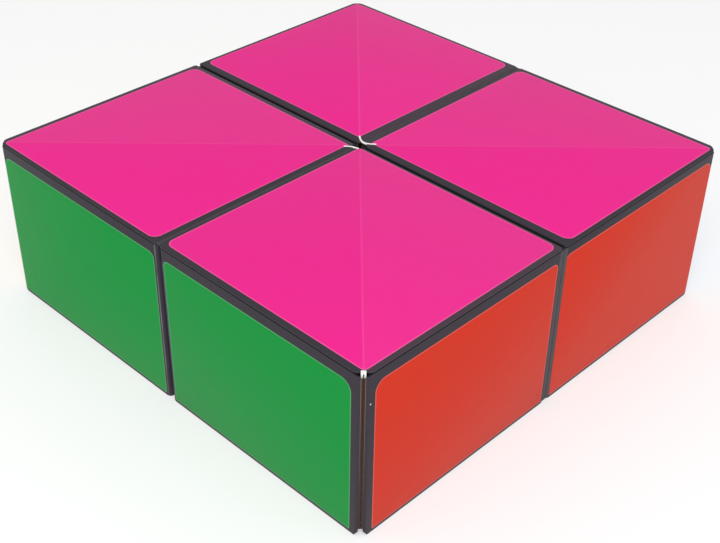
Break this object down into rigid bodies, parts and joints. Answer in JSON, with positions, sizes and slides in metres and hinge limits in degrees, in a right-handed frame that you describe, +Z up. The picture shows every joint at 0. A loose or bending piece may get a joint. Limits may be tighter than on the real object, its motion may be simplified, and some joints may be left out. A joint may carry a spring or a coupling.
{
  "type": "folding puzzle cube",
  "caption": "Square flat toy of hollow triangular blocks in a hinged loop, joined by printed sheet; folds at creases and seams into a cube, a box or a wedge.",
  "frame": {"origin": "on the floor under the middle of the toy, which lies open and flat", "axes": "+Z up through the toy's thickness; X along the hinged top seams; -X faces the green side and -Y the orange side"},
  "size_m": [0.099, 0.099, 0.035],
  "materials": {
    "magenta_print": "laminated print, magenta panel with dark border",
    "printed_wrap": "laminated print, coloured panels with dark borders",
    "base_print": "laminated print",
    "hinge_film": "laminated print, dark fold",
    "moulded_plastic": "moulded, satin"
  },
  "bodies": {
    "front_orange_block": {"front_orange_shell": "moulded_plastic", "front_orange_base_cap": "moulded_plastic", "front_orange_side_wrap": "printed_wrap", "front_orange_top_sheet": "magenta_print", "front_orange_base_sheet": "base_print", "front_crease_film": "hinge_film", "front_side_hinge_film": "hinge_film"},
    "front_green_block": {"front_green_shell": "moulded_plastic", "front_green_base_cap": "moulded_plastic", "front_green_side_wrap": "printed_wrap", "front_green_top_sheet": "magenta_print", "front_green_base_sheet": "base_print", "left_seam_film": "hinge_film"},
    "left_green_block": {"left_green_shell": "moulded_plastic", "left_green_base_cap": "moulded_plastic", "left_green_side_wrap": "printed_wrap", "left_green_top_sheet": "magenta_print", "left_green_base_sheet": "base_print", "left_crease_film": "hinge_film"},
    "left_rear_block": {"left_rear_shell": "moulded_plastic", "left_rear_base_cap": "moulded_plastic", "left_rear_side_wrap": "printed_wrap", "left_rear_top_sheet": "magenta_print", "left_rear_base_sheet": "base_print", "rear_side_hinge_film": "hinge_film"},
    "back_left_block": {"back_left_shell": "moulded_plastic", "back_left_base_cap": "moulded_plastic", "back_left_side_wrap": "printed_wrap", "back_left_top_sheet": "magenta_print", "back_left_base_sheet": "base_print", "back_crease_film": "hinge_film"},
    "back_right_block": {"back_right_shell": "moulded_plastic", "back_right_base_cap": "moulded_plastic", "back_right_side_wrap": "printed_wrap", "back_right_top_sheet": "magenta_print", "back_right_base_sheet": "base_print"},
    "right_rear_block": {"right_rear_shell": "moulded_plastic", "right_rear_base_cap": "moulded_plastic", "right_rear_side_wrap": "printed_wrap", "right_rear_top_sheet": "magenta_print", "right_rear_base_sheet": "base_print", "right_seam_film": "hinge_film"},
    "right_orange_block": {"right_orange_shell": "moulded_plastic", "right_orange_base_cap": "moulded_plastic", "right_orange_side_wrap": "printed_wrap", "right_orange_top_sheet": "magenta_print", "right_orange_base_sheet": "base_print", "right_crease_film": "hinge_film"}
  },
  "joints": [
    {"name": "front_crease", "type": "hinge", "parent": "front_orange_block", "child": "front_green_block", "pos_m": [0, 0, 0.03515], "axis": [0.7071, 0.7071, 0], "range_deg": [0, 180], "deforming": ["front_crease_film"]},
    {"name": "left_seam", "type": "hinge", "parent": "front_green_block", "child": "left_green_block", "pos_m": [0, 0, 0.03515], "axis": [-1, 0, 0], "range_deg": [-180, 0], "deforming": ["left_seam_film"]},
    {"name": "left_crease", "type": "hinge", "parent": "left_green_block", "child": "left_rear_block", "pos_m": [0, 0, 0.03515], "axis": [0.7071, -0.7071, 0], "range_deg": [0, 180], "deforming": ["left_crease_film"]},
    {"name": "rear_side_hinge", "type": "hinge", "parent": "left_rear_block", "child": "back_left_block", "pos_m": [0, 0.04965, 0.0175], "axis": [0, 0, 1], "range_deg": [0, 180], "deforming": ["rear_side_hinge_film"]},
    {"name": "back_crease", "type": "hinge", "parent": "back_left_block", "child": "back_right_block", "pos_m": [0, 0, 0.03515], "axis": [-0.7071, -0.7071, 0], "range_deg": [0, 180], "deforming": ["back_crease_film"]},
    {"name": "front_side_hinge", "type": "hinge", "parent": "front_orange_block", "child": "right_orange_block", "pos_m": [0, -0.04965, 0.0175], "axis": [0, 0, -1], "range_deg": [0, 180], "deforming": ["front_side_hinge_film"]},
    {"name": "right_crease", "type": "hinge", "parent": "right_orange_block", "child": "right_rear_block", "pos_m": [0, 0, 0.03515], "axis": [0.7071, -0.7071, 0], "range_deg": [0, 180], "deforming": ["right_crease_film"]}
  ],
  "couplings": [
    {"joint": "back_crease", "follows": "front_crease", "ratio": 1},
    {"joint": "right_crease", "follows": "left_crease", "ratio": 1}
  ]
}
